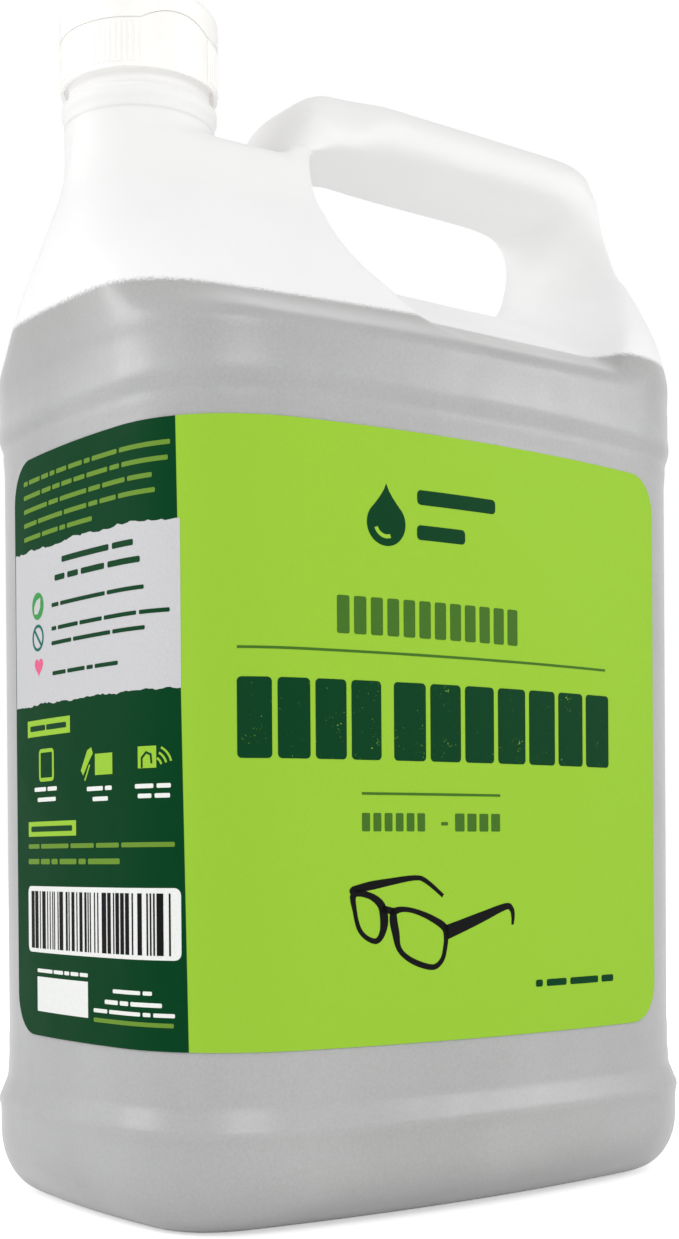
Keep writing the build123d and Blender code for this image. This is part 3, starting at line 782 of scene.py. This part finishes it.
# ---------------------------------------------------------------- artwork
def print_front():
    """The wide face: a drop mark, blocks for the words, two rules and a pair of spectacles."""
    dark = Ink("print_front_dark", DARK_GREEN)
    dark.shape(drop_outline(49.3, 162.6, 5.2, 7.6))
    dark.words(57.8, 80.9, 167.9, 3.4, (5,), 0)
    dark.words(57.7, 71.6, 159.8, 3.4, (3,), 0)
    dark.words(93.3, 122.0, 54.0, 1.7, (1, 3, 4.5, 2), 1.4)
    dark.build()

    glint = Ink("print_mark_glint", LIME, layer=1)
    glint.shape(arc_band(49.3, 161.1, 3.0, 0.9, 200, 290))
    glint.build()

    title = Ink("print_title", DARK_GREEN, worn=0.10)
    for s0, s1, letters in ((12.4, 47.6, 4), (51.0, 120.6, 7)):
        blocks(title, s0, s1, 107.0, 125.0, letters, 1.3, 1.0)
    title.build()

    mid = Ink("print_front_mid", MID_GREEN, worn=0.04)
    mid.bar(12.5, 119.4, 131.2, 131.8)
    mid.bar(42.3, 81.9, 99.1, 99.7)
    blocks(mid, 36.2, 87.8, 135.4, 144.0, 12, 1.2, 0.5)
    blocks(mid, 42.3, 59.4, 90.8, 95.0, 6, 0.9, 0.3)
    blocks(mid, 68.1, 81.8, 90.8, 95.0, 4, 0.9, 0.3)
    mid.bar(64.0, 66.0, 92.2, 93.0, 0.3)
    mid.build()

    print_spectacles()


def blocks(ink, s0, s1, z0, z1, count, gap, rounding):
    """A row of upright blocks that stands for a word in large print."""
    pitch = (s1 - s0 + gap) / count
    for index in range(count):
        start = s0 + index * pitch
        ink.bar(start, start + pitch - gap, z0, z1, rounding)


def drop_outline(s, z, radius, tip):
    """A drop: a round bottom drawn up to a point."""
    points = []
    for step in range(25):
        angle = math.radians(-215 + step * 250 / 24)
        points.append((s + radius * math.cos(angle), z - 1.5 + radius * math.sin(angle)))
    right = points[-1]
    for share in (0.25, 0.5, 0.75):
        across = (1 - share) ** 1.35
        points.append((s + (right[0] - s) * across, right[1] + (z + tip - right[1]) * share))
    points.append((s, z + tip))
    for share in (0.75, 0.5, 0.25):
        across = (1 - share) ** 1.35
        points.append((s - (right[0] - s) * across, right[1] + (z + tip - right[1]) * share))
    return points


def arc_band(s, z, radius, width, begin, end, steps=10):
    """A stretch of a ring."""
    angles = [math.radians(begin + (end - begin) * i / steps) for i in range(steps + 1)]
    far = radius + width / 2
    near = radius - width / 2
    outer = [(s + far * math.cos(a), z + far * math.sin(a)) for a in angles]
    inner = [(s + near * math.cos(a), z + near * math.sin(a)) for a in angles]
    return outer + inner[::-1]


def rounded_path(corners, radius, steps=4):
    """A closed path with its corners rounded."""
    path = []
    count = len(corners)
    for index in range(count):
        here = Vector(corners[index])
        before = (Vector(corners[index - 1]) - here).normalized()
        after = (Vector(corners[(index + 1) % count]) - here).normalized()
        start = here + before * radius
        end = here + after * radius
        for step in range(steps + 1):
            share = step / steps
            point = start * (1 - share) ** 2 + here * 2 * share * (1 - share) + end * share**2
            path.append((point.x, point.y))
    return path


def print_spectacles():
    """A plain pair of spectacles seen from the front left, drawn with a line of changing width."""
    ink = Ink("print_spectacles", BLACK_INK)
    far_rim = (
        (40.0, 76.6, 1.6),
        (40.3, 72.5, 1.1),
        (41.3, 68.8, 1.1),
        (43.2, 66.7, 1.1),
        (45.8, 65.8, 1.3),
        (47.4, 67.4, 1.6),
        (48.0, 70.5, 2.2),
        (47.2, 74.0, 2.0),
        (44.1, 76.2, 1.5),
    )
    near_rim = (
        (50.8, 72.4, 1.7),
        (53.6, 72.9, 1.2),
        (57.4, 72.1, 1.2),
        (61.4, 70.5, 1.5),
        (64.8, 68.4, 1.8),
        (65.2, 66.0, 1.3),
        (64.9, 63.6, 1.2),
        (64.0, 60.9, 1.2),
        (61.6, 59.3, 1.3),
        (57.4, 60.2, 1.4),
        (53.8, 62.0, 1.3),
        (51.8, 64.2, 1.4),
        (51.1, 67.4, 2.0),
        (50.5, 70.4, 2.1),
    )
    far_arm = (
        (39.6, 77.6, 1.4),
        (44.2, 78.4, 2.0),
        (49.2, 79.2, 1.7),
        (56.4, 80.1, 1.2),
        (59.6, 79.3, 1.1),
        (64.4, 75.8, 0.9),
    )
    near_arm = (
        (65.2, 67.2, 3.4),
        (70.0, 68.7, 3.0),
        (76.0, 70.6, 2.5),
        (83.4, 72.9, 1.6),
        (85.3, 72.3, 1.4),
        (85.8, 70.6, 1.1),
        (85.6, 68.5, 0.7),
    )
    for line, closed in ((far_rim, True), (near_rim, True), (far_arm, False), (near_arm, False)):
        smooth = curved(line, closed)
        ink.stroke([point[:2] for point in smooth], [point[2] for point in smooth], closed)
    ink.disc(39.8, 77.3, 0.9)
    ink.stroke([(47.4, 73.2), (50.9, 72.4)], 1.6)
    ink.build()


def between(a, b, c, d, t):
    """The value at share t of the way from b to c on a smooth curve through four values."""
    square = (2 * a - 5 * b + 4 * c - d) * t**2
    cube = (3 * b - a - 3 * c + d) * t**3
    return 0.5 * (2 * b + (c - a) * t + square + cube)


def curved(points, closed, steps=4):
    """A smooth curve through points, which may carry a width as their third number."""
    count = len(points)
    result = []
    for index in range(count if closed else count - 1):
        if closed:
            four = [points[(index + shift) % count] for shift in (-1, 0, 1, 2)]
        else:
            four = [points[min(max(index + shift, 0), count - 1)] for shift in (-1, 0, 1, 2)]
        for step in range(steps):
            result.append(tuple(between(*values, step / steps) for values in zip(*four)))
    if not closed:
        result.append(points[-1])
    return result


def rough_edge(s0, s1, z, reach, step, source):
    """A torn-looking line of points from s0 to s1."""
    points = []
    count = int(abs(s1 - s0) / step)
    drift = 0.0
    for index in range(count + 1):
        drift = 0.6 * drift + source.uniform(-reach, reach)
        points.append((s0 + (s1 - s0) * index / count, z + drift))
    return points


def print_side():
    """The narrow face: lines of print, the grey band with its signs, and the stripe block."""
    source = random.Random(7)
    olive = Ink("print_side_small", OLIVE_LIME)
    for row, (end, lengths) in enumerate(
        (
            (-2.3, (2, 5, 3, 2, 4, 5, 2, 8, 12)),
            (-2.9, (8, 4, 3, 4, 4, 7, 3, 11)),
            (-7.1, (11, 4, 10, 4, 7, 6)),
            (-6.3, (6, 10, 8, 3, 5, 9)),
            (-28.6, (7, 6, 2, 8)),
        )
    ):
        olive.words(-63.8, end, 177.2 - 3.42 * row, 1.1, lengths, 0.9)
    olive.words(-62.5, -1.9, 88.1, 1.1, (5, 11, 8, 7, 12), 1.0)
    olive.words(-62.6, -18.4, 84.4, 1.3, (4, 3, 2, 5, 2, 8), 1.0)
    olive.words(-29.5, -2.5, 47.8, 1.0, (19,), 0)
    olive.build()

    band = Ink("print_side_band", BAND_GREY)
    lower = rough_edge(-70.2, -0.1, 122.6, 0.3, 0.9, source)
    upper = rough_edge(-0.1, -70.2, 160.4, 0.3, 0.9, source)
    band.shape(lower + upper)
    band.build()

    text = Ink("print_side_text", DARK_GREEN, layer=1)
    text.words(-42.6, -12.8, 156.0, 1.4, (11, 4), 1.4)
    text.words(-46.2, -10.7, 152.0, 1.4, (3, 3, 6, 7), 1.4)
    text.words(-47.9, -9.6, 145.7, 0.95, (3, 17, 11), 0.9)
    text.words(-48.0, -2.7, 140.1, 0.95, (2, 8, 8, 10, 7), 0.9)
    text.words(-48.1, -9.4, 136.6, 0.95, (8, 13, 9), 0.9)
    text.words(-47.7, -18.5, 129.4, 0.95, (5, 6, 2, 7), 0.9)
    text.words(-60.7, -41.1, 116.8, 1.3, (5, 6), 0.7)
    text.words(-60.6, -38.6, 92.3, 1.3, (11,), 0)
    text.build()

    leaf = Ink("print_sign_leaf", LEAF_GREEN, layer=1)
    leaf.disc(-55.7, 146.4, 3.3)
    leaf.build()
    blade = Ink("print_sign_blade", BAND_GREY, layer=2)
    blade.shape(
        [(-57.5, 144.6), (-55.6, 144.4), (-54.1, 145.9), (-54.0, 148.3), (-56.2, 147.8), (-57.6, 146.4)]
    )
    blade.build()
    ban = Ink("print_sign_ring", TEAL, layer=1)
    ban.ring(-55.7, 138.7, 2.9, 0.7)
    ban.stroke([(-57.6, 140.6), (-53.8, 136.8)], 0.7)
    ban.build()
    pink = Ink("print_sign_heart", PINK, layer=1)
    pink.shape(heart_outline(-55.3, 131.8, 2.4))
    pink.build()

    lime = Ink("print_side_lime", LIME)
    lime.bar(-62.5, -39.3, 114.8, 118.8)
    lime.bar(-62.4, -36.8, 90.5, 94.1)
    tablet = rounded_path([(-55.3, 104.2), (-48.0, 104.2), (-48.0, 111.2), (-55.3, 111.2)], 0.9)
    lime.stroke(tablet, 0.9, closed=True)
    lime.bar(-28.1, -21.0, 104.3, 109.2)
    lime.shape(
        [(-34.3, 105.6), (-31.4, 110.2), (-29.7, 110.8), (-29.0, 109.4), (-30.9, 107.4), (-33.3, 104.4)]
    )
    lime.stroke([(-32.6, 103.2), (-30.4, 106.8)], 0.5)
    lime.bar(-11.8, -6.5, 105.2, 110.1)
    for index in range(3):
        lime.shape(arc_band(-7.2, 105.4, 2.1 + 1.3 * index, 0.5, 15, 65))
    lime.build()

    mitt = Ink("print_side_mitt", DARK_GREEN, layer=1)
    mitt.stroke([(-10.6, 105.3), (-10.6, 107.5), (-9.3, 108.7), (-8.0, 108.2), (-7.8, 106.2)], 0.5)
    mitt.build()

    white = Ink("print_side_white", WHITE_INK)
    white.words(-58.5, -46.1, 101.9, 1.0, (4, 3), 0.9)
    white.words(-56.7, -46.7, 99.4, 1.0, (6,), 0)
    white.words(-31.7, -21.3, 101.2, 1.0, (5, 2), 0.9)
    white.words(-29.2, -22.9, 98.8, 1.0, (5,), 0)
    white.words(-12.8, -2.8, 101.2, 1.0, (6, 4), 0.9)
    white.words(-11.9, -3.0, 99.0, 1.0, (5, 5), 0.9)
    white.bar(-62.9, -0.5, 62.3, 78.4, 1.6)
    white.words(-57.6, -32.0, 57.9, 0.9, (7, 4, 2, 3, 3), 0.7)
    white.bar(-57.7, -32.0, 48.0, 56.4)
    white.words(-21.5, -8.2, 54.8, 0.9, (11, 3), 0.8)
    white.words(-24.8, -5.5, 52.2, 1.0, (5, 3, 9), 0.8)
    white.words(-29.5, -2.2, 50.0, 0.9, (5, 10, 2, 5), 0.8)
    white.build()

    stripes = Ink("print_side_stripes", BLACK_INK, layer=1)
    at = -60.9
    while at < -2.4:
        width = source.choice((0.45, 0.45, 0.9, 1.35, 1.8))
        stripes.bar(at, min(at + width, -1.5), 63.3, 77.2)
        at += width + source.choice((0.5, 0.5, 0.95, 1.4))
    stripes.build()


def heart_outline(s, z, size):
    """A plain heart."""
    points = []
    for step in range(28):
        t = 2 * math.pi * step / 28
        x = 16 * math.sin(t) ** 3
        y = 13 * math.cos(t) - 5 * math.cos(2 * t) - 2 * math.cos(3 * t) - math.cos(4 * t)
        points.append((s + size * x / 16, z + size * y / 16))
    return points[::-1]


# ---------------------------------------------------------------- closure
def build_hinge():
    """The living hinge: a thin strap behind the parting, bowed out between its two ends."""
    low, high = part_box("hinge_web")
    mesh = bmesh.new()
    across = STRAP_ACROSS
    up = STRAP_UP
    foot = STRAP_FOOT * MM
    grid = {}
    for layer in (0, 1):
        for i in range(across + 1):
            for k in range(up + 1):
                share = k / up
                x = low.x + (high.x - low.x) * i / across
                z = low.z + (high.z - low.z) * share
                outer = low.y + foot + (high.y - low.y - foot) * math.sin(math.pi * share)
                thick = (STRAP_THICK + STRAP_ROOT * abs(2 * share - 1)) * MM
                grid[layer, i, k] = mesh.verts.new((x, outer - layer * thick, z))
    for layer in (0, 1):
        for i in range(across):
            for k in range(up):
                places = ((i, k), (i + 1, k), (i + 1, k + 1), (i, k + 1))
                corners = [grid[layer, *place] for place in places]
                mesh.faces.new(corners if layer else corners[::-1])
    rim = [(i, 0) for i in range(across)] + [(across, k) for k in range(up)]
    rim += [(i, up) for i in range(across, 0, -1)] + [(0, k) for k in range(up, 0, -1)]
    for here, after in zip(rim, rim[1:] + rim[:1]):
        mesh.faces.new([grid[0, *here], grid[0, *after], grid[1, *after], grid[1, *here]])
    obj = object_from(mesh, "hinge_strap", smooth_angle=40)
    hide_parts("hinge_web")
    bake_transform(obj)
    return obj


def soften(node, width):
    """Breaks the sharp edges of a CAD node."""
    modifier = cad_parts[node].modifiers.new("edge", "BEVEL")
    modifier.width = width * MM
    modifier.segments = EDGE_SEGMENTS
    modifier.limit_method = "ANGLE"
    modifier.angle_limit = math.radians(EDGE_ANGLE)


# ---------------------------------------------------------------- studio
def area_light(name, at, width, height, power):
    """A softbox at a place, turned to the jug."""
    data = bpy.data.lights.new(name, "AREA")
    data.energy = power
    data.shape = "RECTANGLE"
    data.size = width
    data.size_y = height
    obj = bpy.data.objects.new(name, data)
    obj.location = at
    obj.rotation_mode = "QUATERNION"
    obj.rotation_quaternion = (Vector(LIGHT_TARGET) - Vector(at)).to_track_quat("-Z", "Y")
    bpy.context.scene.collection.objects.link(obj)


def build_studio():
    """A white floor, a white surround and soft light."""
    scene = bpy.context.scene
    scene.view_settings.view_transform = "Standard"
    world = bpy.data.worlds.new("surround")
    scene.world = world
    world.use_nodes = True
    nodes = world.node_tree.nodes
    links = world.node_tree.links
    background = nodes["Background"]
    background.inputs["Color"].default_value = (1.0, 1.0, 1.0, 1.0)
    seen = nodes.new("ShaderNodeLightPath").outputs["Is Camera Ray"]
    strength = nodes.new("ShaderNodeMapRange")
    strength.inputs["To Min"].default_value = WORLD_LIGHT
    strength.inputs["To Max"].default_value = 1.0
    links.new(seen, strength.inputs["Value"])
    links.new(strength.outputs["Result"], background.inputs["Strength"])

    mesh = bmesh.new()
    bmesh.ops.create_circle(mesh, cap_ends=True, segments=96, radius=6.0)
    floor = object_from(mesh, "floor")
    made = Shader("floor_paper")
    made.set("Base Color", made.mix(made.noise(400, detail=1), (0.93, 0.93, 0.93), (0.95, 0.95, 0.95)))
    made.set("Roughness", 0.9)
    made.set("Specular IOR Level", 0.1)
    made.set("Emission Color", (1.0, 1.0, 1.0, 1.0))
    path = made.tree.nodes.new("ShaderNodeLightPath")
    made.set("Emission Strength", made.math("MULTIPLY", path.outputs["Is Camera Ray"], FLOOR_LIFT))
    floor.data.materials.append(made.material)
    for light in LIGHTS:
        area_light(*light)


def build_camera():
    """The camera, at the viewing angle of the reference view."""
    ahead = Vector(
        (
            math.sin(CAMERA_YAW) * math.cos(CAMERA_PITCH),
            math.cos(CAMERA_YAW) * math.cos(CAMERA_PITCH),
            math.sin(CAMERA_PITCH),
        )
    )
    level = Vector((math.cos(CAMERA_YAW), -math.sin(CAMERA_YAW), 0))
    upright = level.cross(ahead)
    right = level * math.cos(CAMERA_ROLL) + upright * math.sin(CAMERA_ROLL)
    up = upright * math.cos(CAMERA_ROLL) - level * math.sin(CAMERA_ROLL)
    data = bpy.data.cameras.new("camera")
    data.lens = CAMERA_LENS
    data.shift_y = CAMERA_SHIFT
    data.clip_start = 0.01
    data.clip_end = 50
    camera = bpy.data.objects.new("camera", data)
    bpy.context.scene.collection.objects.link(camera)
    turned = Matrix((right, up, -ahead)).transposed().to_4x4()
    camera.matrix_world = Matrix.Translation(Vector(CAMERA_AT) * MM) @ turned
    bpy.context.scene.camera = camera


jug = build_jug()
jug.data.materials.clear()
jug.data.materials.append(jug_material())
give("wrap_label", label_material())
give("cleaning_fluid", liquid_material())
give("foil_seal", foil_material())
give("closure_wad", foam_material())
closure_plastic = closure_material()
give("closure_base", closure_plastic)
give("flip_lid", closure_plastic)
soften("closure_base", 0.08)
soften("flip_lid", 0.15)
strap = build_hinge()
strap.data.materials.append(closure_plastic)
print_front()
print_side()
build_studio()
build_camera()
